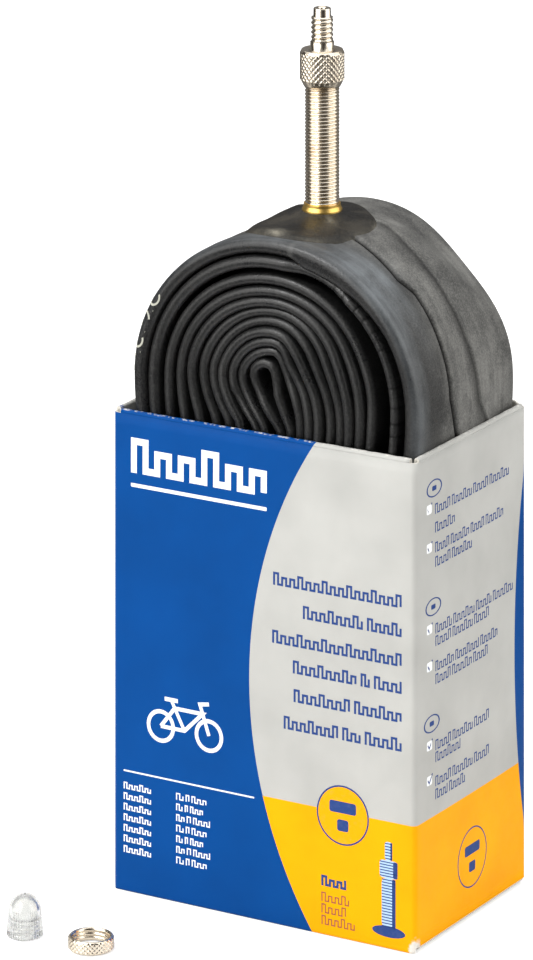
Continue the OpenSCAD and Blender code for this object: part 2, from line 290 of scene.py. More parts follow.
def ink_material(name, colour):
    """Printing ink on coated board."""
    look = Look(name, Specular_IOR_Level=0.08)
    fibre = look.noise(900.0, 4.0, 0.6)
    faded = tuple(min(1.0, 0.9 * c + 0.03) for c in colour)
    look.set("Base Color", look.blend(look.ramp(fibre, 0.5, 0.8), colour, faded))
    look.set("Roughness", look.ramp(fibre, 0.3, 0.7, 0.34, 0.5))
    return look.material


# ---------------------------------------------------------------- mesh helpers

def make_piece(name, points, faces, materials, body, replaces=(), face_materials=None, smooth=True):
    """A mesh piece from points in millimetres, riding on a body."""
    mesh = bpy.data.meshes.new(name)
    mesh.from_pydata((np.asarray(points, float) * MM).tolist(), [], faces)
    for material in materials:
        mesh.materials.append(material)
    if face_materials is not None:
        mesh.polygons.foreach_set("material_index", np.asarray(face_materials, np.int32))
    mesh.polygons.foreach_set("use_smooth", np.full(len(mesh.polygons), smooth))
    mesh.update()
    piece = bpy.data.objects.new(name, mesh)
    bpy.context.scene.collection.objects.link(piece)
    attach(piece, body)
    if replaces:
        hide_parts(*replaces)
    return piece


def grid_faces(rows, columns, wrap_rows=False, wrap_columns=False):
    """Quads of a grid whose point (r, c) has the index r * columns + c."""
    faces = []
    for r in range(rows if wrap_rows else rows - 1):
        below = r * columns
        above = (r + 1) % rows * columns
        for c in range(columns if wrap_columns else columns - 1):
            d = (c + 1) % columns
            faces.append((below + c, below + d, above + d, above + c))
    return faces


def sheet_faces(rows, columns, closed):
    """Faces of a sheet with an outer grid of points and then an inner one: outer, inner and rim."""
    outer = grid_faces(rows, columns, wrap_columns=closed)
    total = rows * columns
    inner = [tuple(total + i for i in reversed(face)) for face in outer]
    last = total - columns
    rim = []
    for c in range(columns if closed else columns - 1):
        d = (c + 1) % columns
        rim.append((c, total + c, total + d, d))
        rim.append((last + d, total + last + d, total + last + c, last + c))
    for r in range(0 if closed else rows - 1):
        a, b = r * columns, (r + 1) * columns
        rim.append((a, b, total + b, total + a))
        a, b = a + columns - 1, b + columns - 1
        rim.append((b, a, total + a, total + b))
    return outer, inner, rim


def point_attribute(piece, name, values):
    """Stores a number for each point, which a material reads by name."""
    attribute = piece.data.attributes.new(name, "FLOAT", "POINT")
    attribute.data.foreach_set("value", np.asarray(values, np.float32))


# ---------------------------------------------------------------- carton

walls_high = box_mm("carton_walls")[1]
HALF_W, HALF_D, TOP_Z = walls_high
HALF_ROUND = 2 * (HALF_W + HALF_D)
FOLD_R = 0.6
CREASE_R = 1.2
BOARD_T = 0.5
# How far the left wall has sprung outwards
LEFT_SLACK = 0.5
TOP_CREASE_Z = 105.1
LOW_CREASE_Z = 1.1
# Print: the blue field's arc round the front wall, and the orange band's top edge
ARC_MID_Z = 52.4
ARC_RADIUS = 95.65
ARC_CENTRE = 130.35
ORANGE_TOP = 27.3
BLUE = (0.0, 0.06, 0.262)
GREY = (0.465, 0.465, 0.445)
ORANGE = (0.97, 0.4, 0.0)
BOARD = (0.74, 0.72, 0.67)


def bulge(x, y, z):
    """How far a carton wall stands out of its flat plane at half its height."""
    height = math.sin(math.pi * clamped(z / TOP_Z))
    place = x / HALF_W if abs(y) > HALF_D - CREASE_R else y / HALF_D
    return 0.35 * height * max(0.0, math.cos(math.pi * place / 2))


def perimeter():
    """Places round the sleeve from its front left corner: (distance along, x, y, normal x, normal y)."""
    places = []
    distance = 0.0
    walls = ((HALF_W, -HALF_D, 1, 0), (HALF_D, HALF_W, 0, 1),
             (HALF_W, HALF_D, -1, 0), (HALF_D, -HALF_W, 0, -1))
    for half, offset, dx, dy in walls:
        for t in steps(CREASE_R - half, half - CREASE_R, 1.5):
            x, y = (dx * t, offset) if dx else (offset, dy * t)
            places.append((distance + half + t, x, y, dy, -dx))
        distance += 2 * half
        end, beside = half - CREASE_R, offset - math.copysign(CREASE_R, offset)
        corner_x, corner_y = (dx * end, beside) if dx else (beside, dy * end)
        for part in (0.17, 0.33, 0.5, 0.67, 0.83):
            turn = part * math.pi / 2
            nx = dy * math.cos(turn) + dx * math.sin(turn)
            ny = -dx * math.cos(turn) + dy * math.sin(turn)
            along = distance + (part - 0.5) * CREASE_R * 1.6
            places.append((along, corner_x + CREASE_R * nx, corner_y + CREASE_R * ny, nx, ny))
    return places


def wear_at_corner(x, y):
    """1 on an upright crease, falling to 0 within 2 mm of it."""
    distance = math.hypot(HALF_W - abs(x), HALF_D - abs(y))
    return max(0.0, 1 - max(0.0, distance - 0.4) / 1.4)


class Sheet:
    """Board sheet, given point by point and row by row: print on the outer face, bare board on the rest."""

    def __init__(self):
        self.points = []

    def add(self, outer, inner, along, up, worn):
        """One place of the sheet: its outer and inner point, and what the print's material reads there."""
        self.points.append((outer, inner, along, up, worn))

    def finish(self, name, node, rows, closed, printed, raw):
        outer, inner, along, up, worn = zip(*self.points)
        outer_faces, inner_faces, rim = sheet_faces(rows, len(outer) // rows, closed)
        faces = outer_faces + inner_faces + rim
        kinds = [0] * len(outer_faces) + [1] * (len(faces) - len(outer_faces))
        piece = make_piece(name, outer + inner, faces, (printed, raw), "carton", (node,),
                           kinds)
        for face in piece.data.polygons[-len(rim):]:
            face.use_smooth = False
        point_attribute(piece, "sheet_up", up * 2)
        point_attribute(piece, "worn", worn * 2)
        # Each face keeps its own corner values, so the last face doesn't run back to the sheet's start
        corners = np.array(along * 2)[[i for face in faces for i in face]].reshape(-1, 4)
        wraps = corners.max(axis=1) - corners.min(axis=1) > HALF_ROUND
        corners[wraps] += np.where(corners[wraps] < HALF_ROUND, 2 * HALF_ROUND, 0)
        attribute = piece.data.attributes.new("sheet_along", "FLOAT", "CORNER")
        attribute.data.foreach_set("value", corners.ravel().astype(np.float32))


def carton_sleeve(printed, raw):
    """Four walls in one sheet. The front wall reaches the floor; the back wall rises above the creases."""
    places = perimeter()
    sheet = Sheet()
    heights = [0.0, 0.5] + steps(LOW_CREASE_Z, TOP_CREASE_Z, 2.6) + [105.5, TOP_Z]
    for z in heights:
        for distance, x, y, nx, ny in places:
            lowest = 0.0 if ny < -0.6 else LOW_CREASE_Z
            on_back = ny > 0.99 and abs(x) < HALF_W - 1.5
            height = clamped(z, lowest, TOP_Z if on_back else TOP_CREASE_Z)
            out = bulge(x, y, height)
            slack = LEFT_SLACK * clamped((-x - 30) / 8)
            low_edge = max(0.0, 1 - abs(height - LOW_CREASE_Z) / 1.2)
            scuff = 1.15 * math.exp(-((x - HALF_W) ** 2 + (y + HALF_D) ** 2 + (height - 1.0) ** 2) / 6.0)
            near = 0.46 if x > 0 and y < 0 else 0.3
            worn = max(near * wear_at_corner(x, y), 0.3 * low_edge, scuff)
            sheet.add((x + nx * out - slack, y + ny * out, height),
                      (x + nx * (out - BOARD_T) - slack, y + ny * (out - BOARD_T), height),
                      distance, height, worn)
    sheet.finish("carton_sleeve", "carton_walls", len(heights), True, printed, raw)


def folded_flap(name, node, half, wall, along_at, printed, raw):
    """Top flap: over its crease and down inside the wall. wall(t, inwards, z) gives a point of it."""
    crest = TOP_Z - FOLD_R
    path = [(0.0, TOP_CREASE_Z, -1.0, 0.0), (0.0, crest, -1.0, 0.0)]
    for k in range(1, 8):
        c, s = math.cos(math.pi * k / 8), math.sin(math.pi * k / 8)
        path.append((FOLD_R - FOLD_R * c, crest + FOLD_R * s, -c, s))
    folded = len(path)
    path += [(2 * FOLD_R, z, 1.0, 0.0) for z in steps(crest, box_mm(node)[0][2], 3.0)]
    sheet = Sheet()
    for index, (into, z, n_in, n_up) in enumerate(path):
        for k, t in enumerate(steps(-half, half, 1.25)):
            # Small nicks across the crease, left by the perforating rule
            nick = 0.05 if k % 5 == 0 and 2 <= index < folded else 0.0
            dent = 0.04 * math.sin(0.9 * t + 0.7) * math.sin(0.53 * t) if 1 <= index <= folded else 0.0
            sunk = nick + abs(dent)
            worn = 0.6 if 3 <= index <= folded else 0.3 if index < 3 else 0.1
            sheet.add(wall(t, into - n_in * sunk, z - n_up * sunk),
                      wall(t, into - n_in * BOARD_T, z - n_up * BOARD_T),
                      along_at + t, TOP_Z if index >= folded else z, worn)
    sheet.finish(name, node, len(path), False, printed, raw)


def carton_flaps(printed, raw):
    """The lid's panel tucked down behind the front, and a dust flap behind each side."""
    def front(t, into, z):
        return (t, -HALF_D - bulge(t, -HALF_D, min(z, 105.0)) + into, z)

    def left(t, into, z):
        return (-HALF_W - LEFT_SLACK + into, -t, z)

    def right(t, into, z):
        return (HALF_W - into, t, z)

    folded_flap("lid_panel_folded", "top_panel", HALF_W - 1.5, front, HALF_W, printed, raw)
    folded_flap("dust_flap_left", "top_dust_left", HALF_D - 1.5, left, 4 * HALF_W + 3 * HALF_D, printed, raw)
    folded_flap("dust_flap_right", "top_dust_right", HALF_D - 1.5, right, 2 * HALF_W + HALF_D, printed, raw)


# ---------------------------------------------------------------- print on the carton

def front_face(u, z, out):
    return (u, -HALF_D - bulge(u, -HALF_D, z) - out, z)


def side_face(u, z, out):
    return (HALF_W + bulge(HALF_W, u, z) + out, u, z)


class Ink:
    """Collects flat shapes that stand a hair proud of a carton wall, all in one ink. Places are in mm."""

    def __init__(self, face, thickness=0.03):
        self.face = face
        self.thickness = thickness
        self.points = []
        self.faces = []

    def band(self, first, second):
        """Shape between two lines of (u, z) points, as a closed prism."""
        start, count = len(self.points), len(first)
        for out in (self.thickness, -0.1):
            for line in (first, second):
                self.points += [self.face(u, z, out) for u, z in line]
        a, b, c, d = (start + k * count for k in range(4))
        for k in range(count - 1):
            self.faces += [(a + k, a + k + 1, b + k + 1, b + k), (c + k + 1, c + k, d + k, d + k + 1),
                           (a + k + 1, a + k, c + k, c + k + 1), (b + k, b + k + 1, d + k + 1, d + k)]
        e = count - 1
        self.faces += [(a, b, d, c), (b + e, a + e, c + e, d + e)]

    def bar(self, u0, z0, u1, z1):
        """Upright bar with slightly rounded ends."""
        r = min(0.18 * (z1 - z0), 0.3 * (u1 - u0))
        middle = steps(u0 + r, u1 - r, 4)
        us = [u0, u0 + 0.3 * r] + middle + [u1 - 0.3 * r, u1]
        insets = [r, 0.3 * r] + [0] * len(middle) + [0.3 * r, r]
        self.band([(u, z1 - i) for u, i in zip(us, insets)], [(u, z0 + i) for u, i in zip(us, insets)])

    def arc(self, u, z, radius, width, start=0.0, stop=360.0, squash=1.0):
        """Part of a ring, by angles from the right, anticlockwise."""
        turns = steps(start, stop, min(9, abs(stop - start) / 6))
        self.band(*([(u + squash * r * cosine(t), z + r * sine(t)) for t in turns]
                    for r in (radius + width / 2, radius - width / 2)))

    def stroke(self, places, width):
        """Line of one width through the given (u, z) places, with mitred corners."""
        places = np.array(places, float)
        ahead = np.diff(places, axis=0)
        ahead /= np.hypot(*ahead.T)[:, None]
        side = np.stack([-ahead[:, 1], ahead[:, 0]], axis=1)
        before, after = np.vstack([side[:1], side]), np.vstack([side, side[-1:]])
        mitre = (before + after) / (1 + (before * after).sum(axis=1))[:, None] * width / 2
        self.band((places + mitre).tolist(), (places - mitre).tolist())

    def wave(self, u0, u1, z, height, pitch, width):
        """Square wave that stands for one word; now and then a crest stands taller."""
        count = max(1, round((u1 - u0 - width) / pitch))
        pitch = (u1 - u0 - width) / count
        low, high = z - (height - width) / 2, z + (height - width) / 2

        def crest(k):
            return high + (0.38 * height if (k // 2) % 3 == 0 else 0.0)

        places = [(u0 + width / 2, low - width / 2)]
        for k in range(count + 1):
            u = u0 + width / 2 + pitch * k
            if k % 2 == 0:
                places += [(u, low), (u, crest(k))] if k > 0 else [(u, crest(k))]
            else:
                places += [(u, crest(k - 1)), (u, low)]
        self.stroke(places, width)

    def words(self, u0, u1, z, height, shares=(1,), weight=0.2, pitch=0.45):
        """A line of wording as plain square waves, one for each word, with the given shares of the line."""
        gap = 0.5 * height
        unit = (u1 - u0 - gap * (len(shares) - 1)) / sum(shares)
        for share in shares:
            self.wave(u0, u0 + unit * share, z, height, pitch * height, weight * height)
            u0 += unit * share + gap

    def finish(self, name, material, body="carton", slot="printed_board"):
        make_piece(name, self.points, self.faces, (material,), body, smooth=False)


def front_signs(ink):
    """White print of the front wall: a bold wave, a bicycle and two columns of small wording."""
    white = Ink(front_face)
    white.wave(-33.8, 1.0, 95.2, 5.6, 2.9, 1.5)
    white.bar(-33.8, 89.3, 1.0, 90.1)
    for centre in (-26.0, -13.6):
        white.arc(centre, 37.9, 3.2, 0.9)
    white.stroke(((-26.0, 37.9), (-22.4, 42.4), (-15.2, 42.4), (-19.9, 37.9), (-26.0, 37.9)), 0.85)
    white.stroke(((-19.9, 37.9), (-23.2, 43.9)), 0.8)
    white.stroke(((-25.0, 44.1), (-21.6, 44.1)), 0.9)
    white.stroke(((-13.6, 37.9), (-15.9, 44.4), (-13.6, 44.8)), 0.85)
    white.bar(-35.7, 26.3, -2.1, 26.65)
    for row in range(7):
        z = 23.0 - 2.33 * row
        white.words(-35.7, -28.6, z, 1.1, weight=0.27, pitch=0.6)
        white.words(-22.1, -13.4 - 0.9 * ((row + 1) % 3), z, 1.1, (1, 0.5, 2), 0.25, 0.6)
    white.finish("print_white", ink)


def size_sign(blue, u, z, radius, width, bars):
    """A ring with two plain bars in it, each given by its height, half width and half height."""
    blue.arc(u, z, radius, width)
    for level, half, half_tall in bars:
        blue.bar(u - half, level - half_tall, u + half, level + half_tall)


def valve_sign(blue, pale):
    """A round foot, a ribbed stem, a nut and a tip, dark lines over a pale shape."""
    for u0, z0, u1, z1 in ((29.7, 4.3, 33.1, 15.1), (29.2, 15.1, 33.6, 18.9), (30.5, 18.9, 32.3, 22.9)):
        pale.bar(u0, z0, u1, z1)
        blue.bar(u1 - 0.25 * (u1 - u0), z0 + 0.1, u1, z1 - 0.1)
        for z in steps(z0 + 0.3, z1 - 0.5, 0.62):
            blue.bar(u0, z, u1, z + 0.22)
    blue.arc(31.4, 3.6, 0.6, 1.2, squash=3.4)


def front_print(white_ink, blue_ink):
    front_signs(white_ink)
    orange = Ink(front_face, 0.015)
    orange.arc(20.1, 26.6, 3.05, 6.1)
    orange.finish("print_orange", ink_material("orange_ink", ORANGE))

    blue, pale, brown = Ink(front_face), Ink(front_face, 0.02), Ink(front_face)
    lines = ((2.7, 75.0, (1,)), (10.2, 68.8, (7, 4)), (2.5, 62.4, (1,)), (7.7, 56.6, (7, 1, 3)),
             (7.9, 50.4, (6, 5)), (5.4, 44.2, (6, 2, 4)))
    for start, z, shares in lines:
        blue.words(start, 34.6, z - 0.3, 2.05, shares, 0.24, 0.5)
    size_sign(blue, 20.1, 26.6, 6.3, 0.35, ((28.3, 3.3, 1.25), (24.4, 1.4, 1.25)))
    blue.words(14.7, 20.9, 11.4, 1.7, (1,), 0.32, 0.6)
    valve_sign(blue, pale)
    blue.finish("print_blue", blue_ink)
    pale.finish("print_pale_blue", ink_material("pale_blue_ink", (0.42, 0.6, 0.84)))
    for z, end in ((7.9, 21.6), (5.4, 20.8), (2.9, 23.0)):
        brown.words(14.7, end, z, 1.5, (1,), 0.2, 0.55)
    brown.finish("print_brown", ink_material("brown_ink", (0.33, 0.12, 0.05)))


def side_print(white_ink, blue_ink):
    """Side wall: rings, boxes with a tick, and lines of small wording."""
    white, blue = Ink(side_face), Ink(side_face)
    for u, z in ((-16.8, 97.9), (-17.4, 72.5), (-18.1, 47.5)):
        blue.arc(u, z, 1.75, 0.25, squash=1.8)
        blue.bar(u - 0.9, z - 0.5, u + 0.9, z + 0.5)
    for z in (93.8, 85.5, 68.0, 60.0, 43.0, 35.5):
        white.bar(-20.2, z - 1.0, -18.0, z + 1.0)
        blue.stroke(((-19.8, z + 0.2), (-19.2, z - 0.6), (-17.8, z + 1.2)), 0.35)
    lines = ((93.0, 16.8), (89.0, -7.9), (84.7, 14.1), (81.6, -0.4), (67.2, 18.5), (64.5, 7.2), (59.1, 11.2),
             (56.3, 6.6), (42.1, 7.2), (39.5, -5.7), (34.3, 7.2), (31.5, -3.6))
    for z, end in lines:
        shares = [3 + k % 2 for k in range(max(1, round((end + 16.5) / 8)))]
        blue.words(-16.5, end, z, 1.6, shares, 0.17, 0.55)
    size_sign(blue, 0.0, 13.2, 6.4, 0.3, ((15.0, 3.3, 1.1), (11.2, 1.4, 1.1)))
    white.finish("print_white_side", white_ink)
    blue.finish("print_blue_side", blue_ink)


# ---------------------------------------------------------------- course of the rolled tube

MID_X, MID_Z = 1.1, 114.0
TUBE_HALF = 23.25
LAST_ANGLE = 4 * 360 + 160
OUTERMOST_FROM = LAST_ANGLE - 355
# Values the rubber's material reads: dust on the outer turn, a painted sheen, the splice mark, and painted
# shade in grooves and wrinkles.
RUBBER_VALUES = ("outside", "painted_sheen", "mark", "crease")
# How dusty the outermost turn is from front to back: places in mm, then shares
DUSTED = (-22.4, -19.0, -12.0, -8.5), (0.0, 0.3, 0.42, 1.0)


def left_x(level):
    return -32.8 + 2.8 * level + 1.8 * sine(level * 180 / 8.6)


def right_x(level):
    """The outer two strands stand clear of the tight roll on the right."""
    clear = 5.0 / (1 + math.exp((level - 1.5) * 8))
    return 30.5 - 2.5 * level + clear - 1.5 * bell(level - 1, 0.5)


def top_z(level):
    return MID_Z + 28.7 - 2.15 * level + 3.4 * bell(level, 1.5)


def bottom_z(level):
    return MID_Z - 46.4 + 2.45 * level + 1.2 * (1 - math.exp(-level))


def level_at(angle, inner):
    """Level of a strand: 0 is the outermost. Each turn outwards drops two, because the tube is doubled."""
    turn = math.floor(angle / 360)
    part = clamped((angle - 360 * turn - 120) / 150, 0, 1)
    return 8 - 2 * turn - 2 * part * part * (3 - 2 * part) + inner


def strand_place(angle, level):
    """Centre of a strand, by its angle clockwise from the top and its level."""
    s, c = sine(angle), cosine(angle)
    across = s if c > 0 else math.copysign(abs(s) ** 0.7, s)
    if s > 0 and c > 0 and level < 1.5:
        across = s ** 0.93
    x = MID_X + (right_x(level) - MID_X if s > 0 else MID_X - left_x(level)) * across
    z = MID_Z + (top_z(level) - MID_Z if c > 0 else MID_Z - bottom_z(level)) * c
    return x, z


def share_inward(x, outer, innermost, leg):
    """0 at the outer strands, 1 at the innermost one, and 0 again at the loop's leg beyond it."""
    return clamped(min((x - outer) / (innermost - outer), (leg - x) / (leg - innermost)))


def leaned(x, z):
    """The left strands slump to the right below the middle; the right ones press on the loop above it."""
    left_leg = float(np.interp(z, (106.0, 112.6, 118.2), (2.5, -2.0, -4.1)))
    right_leg = float(np.interp(z, (106.8, 117.6, 121.8), (5.0, 1.6, 0.0)))
    fallen = min(max((119 - z) / 10.7, 0.0) ** 1.7, 1.15)
    back = clamped((z - 84) / 20)
    slump = 5.2 * fallen * back * back * (3 - 2 * back)
    press = 3.4 * bell(z - 120, 7)
    return (x + slump * share_inward(x, -24.0, left_x(9), left_leg)
            - press * share_inward(x, right_x(2), right_x(9), right_leg))


def cubic(a, b, c, d, count=24):
    a, b, c, d = (np.array(p, float) for p in (a, b, c, d))
    out = []
    for k in range(count):
        t = k / count
        s = 1 - t
        out.append(tuple(s ** 3 * a + 3 * s * s * t * b + 3 * s * t * t * c + t ** 3 * d))
    return out


def roll_path():
    """Closed centreline as rows of (x, z, level, angle). Angle is -1 in the folds and the inner strand."""
    angles = range(-90, LAST_ANGLE + 1, 2)
    rows = [(*strand_place(a, level_at(a, 0)), level_at(a, 0), a) for a in angles]
    ax, az = rows[-1][:2]
    bx, bz = strand_place(LAST_ANGLE, level_at(LAST_ANGLE, 1))
    mid_x, mid_z = (ax + bx) / 2, (az + bz) / 2
    dx, dz = ax - mid_x, az - mid_z
    for turn in range(-12, -180, -12):
        s, c = sine(turn), cosine(turn)
        rows.append((mid_x + dx * c - dz * s, mid_z + dx * s + dz * c, 0.5, -1))
    rows += [(*strand_place(a, level_at(a, 1)), level_at(a, 1), -1) for a in reversed(angles)]
    inner, outer = (left_x(9), MID_Z), (left_x(8), MID_Z)
    leg_left, leg_right = (2.5, MID_Z - 8), (5.0, MID_Z - 7.2)
    loop_left, loop_right = (-4.1, MID_Z + 4.2), (1.6, MID_Z + 3.6)
    fold = (
        (inner, (inner[0], MID_Z - 17), (5.0, MID_Z - 13.5), leg_left),
        (leg_left, (0, MID_Z - 4), (-4.8, MID_Z + 1.6), loop_left),
        (loop_left, (-3.6, MID_Z + 7), (1.6, MID_Z + 7.8), loop_right),
        (loop_right, (1.6, MID_Z - 0.6), (3.6, MID_Z - 4.1), leg_right),
        (leg_right, (7.2, MID_Z - 15), (outer[0], MID_Z - 22), outer),
    )
    for curve in fold:
        rows += [(x, z, 9.0, -1) for x, z in cubic(*curve)]
    return np.array([(leaned(x, z), z, level, angle) for x, z, level, angle in rows])


def squeezed(rows):
    """True where the second strand is squeezed on the right."""
    return (abs(rows[:, 2] - 1) < 0.3) & (rows[:, 0] > MID_X + 8)


def resample(rows):
    """Rows at even steps along a closed path: short steps in the outer two strands, longer ones inside."""
    keep = [0]
    for k in range(1, len(rows)):
        if np.hypot(*(rows[k, :2] - rows[keep[-1], :2])) > 0.3:
            keep.append(k)
    rows = rows[keep]
    closed = np.vstack([rows, rows[:1]])
    step = np.hypot(*np.diff(closed[:, :2], axis=0).T)
    effort = step * np.where(squeezed(rows), 3.4, np.where(rows[:, 2] < 1.6, 1.6, 0.62))
    travelled = np.concatenate([[0], np.cumsum(effort)])
    at = np.linspace(0, travelled[-1], int(travelled[-1]), endpoint=False)
    out = np.stack([np.interp(at, travelled, closed[:, k]) for k in range(4)], axis=1)
    # Levels and angles are not blended across the start of a fold
    nearest = np.searchsorted(travelled, at, side="right") - 1
    known = (closed[nearest, 3] > -95) & (closed[np.minimum(nearest + 1, len(closed) - 1), 3] > -95)
    out[:, 2:] = np.where(known[:, None], out[:, 2:], closed[nearest, 2:])
    return out


def smooth_ring(values, passes):
    for _ in range(passes):
        values = (np.roll(values, 1) + 2 * values + np.roll(values, -1)) / 4
    return values


def strand_depth(rows):
    """Half thickness of the strand at each place, from the room between it and its neighbours."""
    places, count = rows[:, :2], len(rows)
    gap = np.full(count, 9.0)
    index = np.arange(count)
    for k in range(count):
        apart = np.abs(index - k)
        apart = np.minimum(apart, count - apart)
        gap[k] = np.hypot(*(places - places[k]).T)[apart > 6].min()
    most = np.interp(rows[:, 2], [0, 1, 2, 9], [1.75, 1.4, 1.22, 1.15])
    most = np.where(squeezed(rows), 1.72, most)
    return smooth_ring(np.minimum(most, 0.495 * gap), 4)


# ---------------------------------------------------------------- skin of the rolled tube

# The pleat and the mould seam, as (angle from the top, y)
PLEAT = ((19, -7.2), (29, -8.4), (44, -9.9), (51, -8.0), (71, -8.2), (89, -7.3), (107, -3.3))
SEAM = ((22, 5.8), (33, 3.6), (45, 2.4), (59, 1.9), (72, 2.8), (95, 5.6), (115, 14.9))


def line_at(points, angle):
    """y of a broken line at an angle, level beyond its ends."""
    return float(np.interp(angle, [p[0] for p in points], [p[1] for p in points]))


def lines_shown(angle):
    """The pleat and seam run from the patch down the right side; 0 beyond their ends."""
    return min(max((angle - 12) / 8, 0), max((150 - angle) / 20, 0), 1)


def skin(angle, y, outside):
    """Relief of the outer surface at an angle from the top, in mm: pleat, mould seam and slack waves."""
    waves = 0.16 * math.sin(0.21 * y + 0.06 * angle) + 0.1 * math.sin(0.47 * y - 0.11 * angle + 1.3)
    if outside < 0.5:
        return 0.5 * waves
    beyond, off_seam = y - line_at(PLEAT, angle), y - line_at(SEAM, angle)
    step = 0.55 / (1 + math.exp(-beyond / 0.14)) * math.exp(-max(beyond, 0) / 10)
    groove = -0.45 * bell(beyond + 0.3, 0.45)
    seam = 0.3 * bell(off_seam, 0.3) - 0.16 * bell(off_seam + 0.65, 0.35)
    splice = 0.8 * bell(angle + 17, 2.2) * bell(y - 2, 9)
    return waves + splice + lines_shown(angle) * (step + groove + seam)


def painted_crease_shade(angle, y):
    """Painted shade: 1 in the dark groove under the pleat and, fainter, along the mould seam."""
    pleat = bell(y - line_at(PLEAT, angle) + 0.3, 0.38)
    seam = 0.75 * bell(y - line_at(SEAM, angle) + 0.6, 0.34)
    return lines_shown(angle) * max(pleat, seam)


def sunk_back(angle, y):
    """How far the outer turn is drawn in towards its back edge, mostly at the upper right."""
    part = clamped((y - 6) / 18, 0, 1)
    return (0.8 + 3.4 * bell(angle - 47, 27)) * part * part * (3 - 2 * part)


def outer_columns(angle, half, count):
    """y of each column on the outer side: they crowd at the pleat and at the seam."""
    pleat, seam = line_at(PLEAT, angle), line_at(SEAM, angle)
    knots = [-half] + [pleat + off for off in (-1.2, -0.5, -0.2, 0, 0.2, 0.6, 1.4)]
    knots += [seam + off for off in (-0.7, -0.3, 0, 0.3, 0.7)] + [half]
    weights = [0, 5, 6.5, 7.5, 8.5, 9.5, 10.5, 12, 15, 16.2, 17.4, 18.6, 19.8, 26]
    return np.interp(np.linspace(0, weights[-1], count), weights, knots)


def front_edge(turn, level):
    """How far forward a strand's front bead reaches."""
    return TUBE_HALF + 0.45 * math.sin(1.9 * level + 0.5) + 0.25 * math.sin(0.05 * turn + level)


def cross_wrinkle(turn, level):
    """1 in a wrinkle across the second strand, where it is squeezed on the right."""
    if not (0.7 < level < 1.3 and 28 < turn < 122):
        return 0.0
    beat = (0.21 * turn + 0.22 * math.sin(0.31 * turn)) % 1.0
    return max(0.0, 1 - abs(beat - 0.5) / 0.16) * (0.6 + 0.4 * math.sin(0.9 * turn))


def strand_section(h, turn, level, outside, pinch):
    """Closed section of the flat tube, front bead first, as (y, out, 1 on the outer side and 0 elsewhere)."""
    h *= 1 - 0.06 * pinch
    front = front_edge(turn, level) - 0.12 * pinch
    back = TUBE_HALF + 0.4 * math.sin(2.3 * level + 1.1)
    if 0.7 < level < 1.3 and 6 < turn < 40:
        front -= 1.6 * math.sin(math.pi * (turn - 6) / 34)
    # Past the splice the outer bead is fuller on its inner side
    fuller = 0.0
    if outside > 0 and 8 < turn < 60:
        fuller = 1.5 * min(1.0, (turn - 8) / 7) * min(1.0, (60 - turn) / 35)
    half = TUBE_HALF - h
    section = [(-front + h - h * cosine(s), h * sine(s) - fuller * max(0.0, -sine(s)), 0.0)
               for s in np.linspace(-90, 90, 9)]
    for y in outer_columns(turn if outside > 0 else 60.0, half, 27)[1:-1]:
        sag = 1 - (y / half) ** 6
        section.append((y, h * (1 - 0.06 * sag) + skin(turn, y, outside), 1.0))
    section += [(back - h + h * cosine(s), h * sine(s), 0.0) for s in np.linspace(90, -90, 9)]
    section += [(y, -0.8 * h, 0.0) for y in np.linspace(half, -half, 11)[1:-1]]
    return section


def rubber_look(turn, y, up, on_outer_side, outside, pinch):
    """What the rubber's material reads at a point: dust on the outside, a painted sheen, the splice mark, and
    painted shade in grooves and wrinkles.
    """
    # Painted sheen along the front bead, broadest at the upper right of the outer turn.
    sheen = min(1.0, 0.4 * bell(y + 20.8, 2.2) + 0.75 * bell(turn - 38, 20) * bell(y + 16.5, 5))
    splice = bell(turn - 8.6, 0.4) if outside > 0 and y < 2.2 - TUBE_HALF else 0.0
    # Painted shade in the pleat and seam grooves on the outer side, and in the wrinkles across the squeezed
    # strand's front bead.
    if up and on_outer_side:
        crease = painted_crease_shade(turn, y)
    else:
        crease = 0.9 * pinch if y < -19 else 0.0
    return up * float(np.interp(y, *DUSTED)), up * sheen, 0.4 * splice, crease


def rolled_tube(rubber):
    """The tube, pressed flat, doubled and rolled: one closed skin round the whole centreline."""
    rows = resample(roll_path())
    depth = strand_depth(rows)
    ahead = np.roll(rows[:, :2], -1, axis=0) - np.roll(rows[:, :2], 1, axis=0)
    ahead /= np.hypot(*ahead.T)[:, None]
    points, looks = [], []
    for (x, z, level, angle), h, (along_x, along_z) in zip(rows, depth, ahead):
        turn = math.degrees(math.atan2(x - MID_X, z - MID_Z))
        outside = clamped((angle - OUTERMOST_FROM) / 20)
        pinch = cross_wrinkle(turn, level)
        section = strand_section(h, turn, level, outside, pinch)
        sign = 1.0 if angle > -95 and angle != -1 else -1.0
        outer_pair = level < 1.4 and -100 < turn < 130
        for y, n, side in section:
            looks.append(rubber_look(turn, y, outside if n > 0 else 0.0, side, outside, pinch))
            if outer_pair:
                n -= sign * sunk_back(turn, y)
            points.append((x - along_z * n, y, z + along_x * n))
    faces = grid_faces(len(rows), len(section), wrap_rows=True, wrap_columns=True)
    piece = make_piece("rolled_tube_rubber", points, faces, (rubber,), "rolled_tube",
                       ("inner_tube",))
    for name, values in zip(RUBBER_VALUES, zip(*looks)):
        point_attribute(piece, name, values)


BEAD_H = 1.7
MM_PER_DEGREE = 0.61


def bead_face(along, around, out):
    """A place on the front bead of the outer turn: mm along the strand from the top, and round the bead."""
    turn, part = along / MM_PER_DEGREE, around / BEAD_H
    x, z = strand_place(turn, 0.0)
    ahead = np.array(strand_place(turn + 1, 0.0)) - np.array(strand_place(turn - 1, 0.0))
    ahead /= np.hypot(*ahead)
    radius = BEAD_H + out
    out_by = radius * math.sin(part)
    y = BEAD_H - front_edge(turn, 0.0) - radius * math.cos(part)
    return x - ahead[1] * out_by, y, z + ahead[0] * out_by


